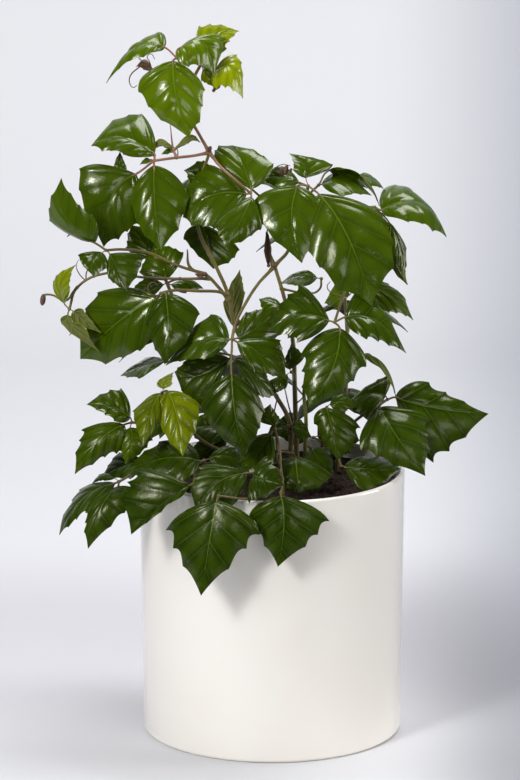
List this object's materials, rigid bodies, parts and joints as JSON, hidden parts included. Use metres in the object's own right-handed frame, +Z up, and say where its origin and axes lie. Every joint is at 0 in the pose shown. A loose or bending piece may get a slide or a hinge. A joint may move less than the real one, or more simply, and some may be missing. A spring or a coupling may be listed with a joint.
{
  "type": "potted grape ivy",
  "caption": "Trailing houseplant with glossy toothed three-leaflet leaves on thin brown stems, growing in a plain white glazed cylinder pot filled with soil.",
  "frame": {"origin": "centre of the pot's base, where it stands on the ground", "axes": "+Z up along the pot's axis, -Y towards the front of the plant, +X to its right seen from the front"},
  "size_m": [0.3017, 0.2423, 0.4822],
  "materials": {
    "glazed_pot": "gloss white glaze",
    "potting_soil": "matt, crumbly, damp",
    "brown_stem": "satin, slightly ridged",
    "green_stem": "satin",
    "leaf_old": "waxy gloss",
    "leaf_fresh": "waxy gloss",
    "leaf_young": "soft gloss"
  },
  "bodies": {
    "root": {"pot": "glazed_pot", "soil": "potting_soil", "stem_leader": "brown_stem", "stem_main": "brown_stem", "stem_green": "green_stem", "stem_low_left": "brown_stem", "stem_front": "brown_stem", "stem_low_right": "brown_stem", "stem_back_left": "brown_stem", "stem_back_right": "brown_stem", "leaf_crown": "leaf_fresh", "leaf_top": "leaf_young", "leaf_upper_left": "leaf_old", "leaf_left": "leaf_old", "leaf_far_left": "leaf_young", "leaf_mid_left": "leaf_old", "leaf_shade_left": "leaf_old", "leaf_mid_top": "leaf_old", "leaf_shade_top": "leaf_old", "leaf_great": "leaf_old", "leaf_right_top": "leaf_old", "leaf_right_arm": "leaf_old", "leaf_right": "leaf_old", "leaf_right_low": "leaf_fresh", "leaf_centre": "leaf_old", "leaf_shade_centre": "leaf_old", "leaf_lime": "leaf_young", "leaf_grey": "leaf_old", "leaf_low_left": "leaf_fresh", "leaf_low_right": "leaf_old", "leaf_low_inner": "leaf_old", "leaf_pale": "leaf_young", "leaf_front": "leaf_old", "leaf_front_right": "leaf_old", "leaf_sweep": "leaf_old", "leaf_rim_left": "leaf_old", "leaf_silver": "leaf_old", "leaf_wide_left": "leaf_old", "leaf_rim_centre": "leaf_old", "leaf_soil_front": "leaf_old", "leaf_soil_left": "leaf_old", "leaf_soil_mid": "leaf_old", "leaf_soil_back": "leaf_old", "leaf_dark_left": "leaf_old", "leaf_soil_right": "leaf_old", "leaf_rim_right": "leaf_old", "leaf_stem_side": "leaf_old", "leaf_slate": "leaf_old", "leaf_slate_small": "leaf_old", "leaf_spear": "leaf_young", "leaf_back_1": "leaf_old", "leaf_back_2": "leaf_old", "leaf_back_3": "leaf_old", "leaf_back_4": "leaf_old", "leaf_back_5": "leaf_old", "leaf_back_6": "leaf_old", "leaf_back_7": "leaf_old", "leaf_back_8": "leaf_old", "leaf_back_9": "leaf_old"}
  },
  "joints": []
}
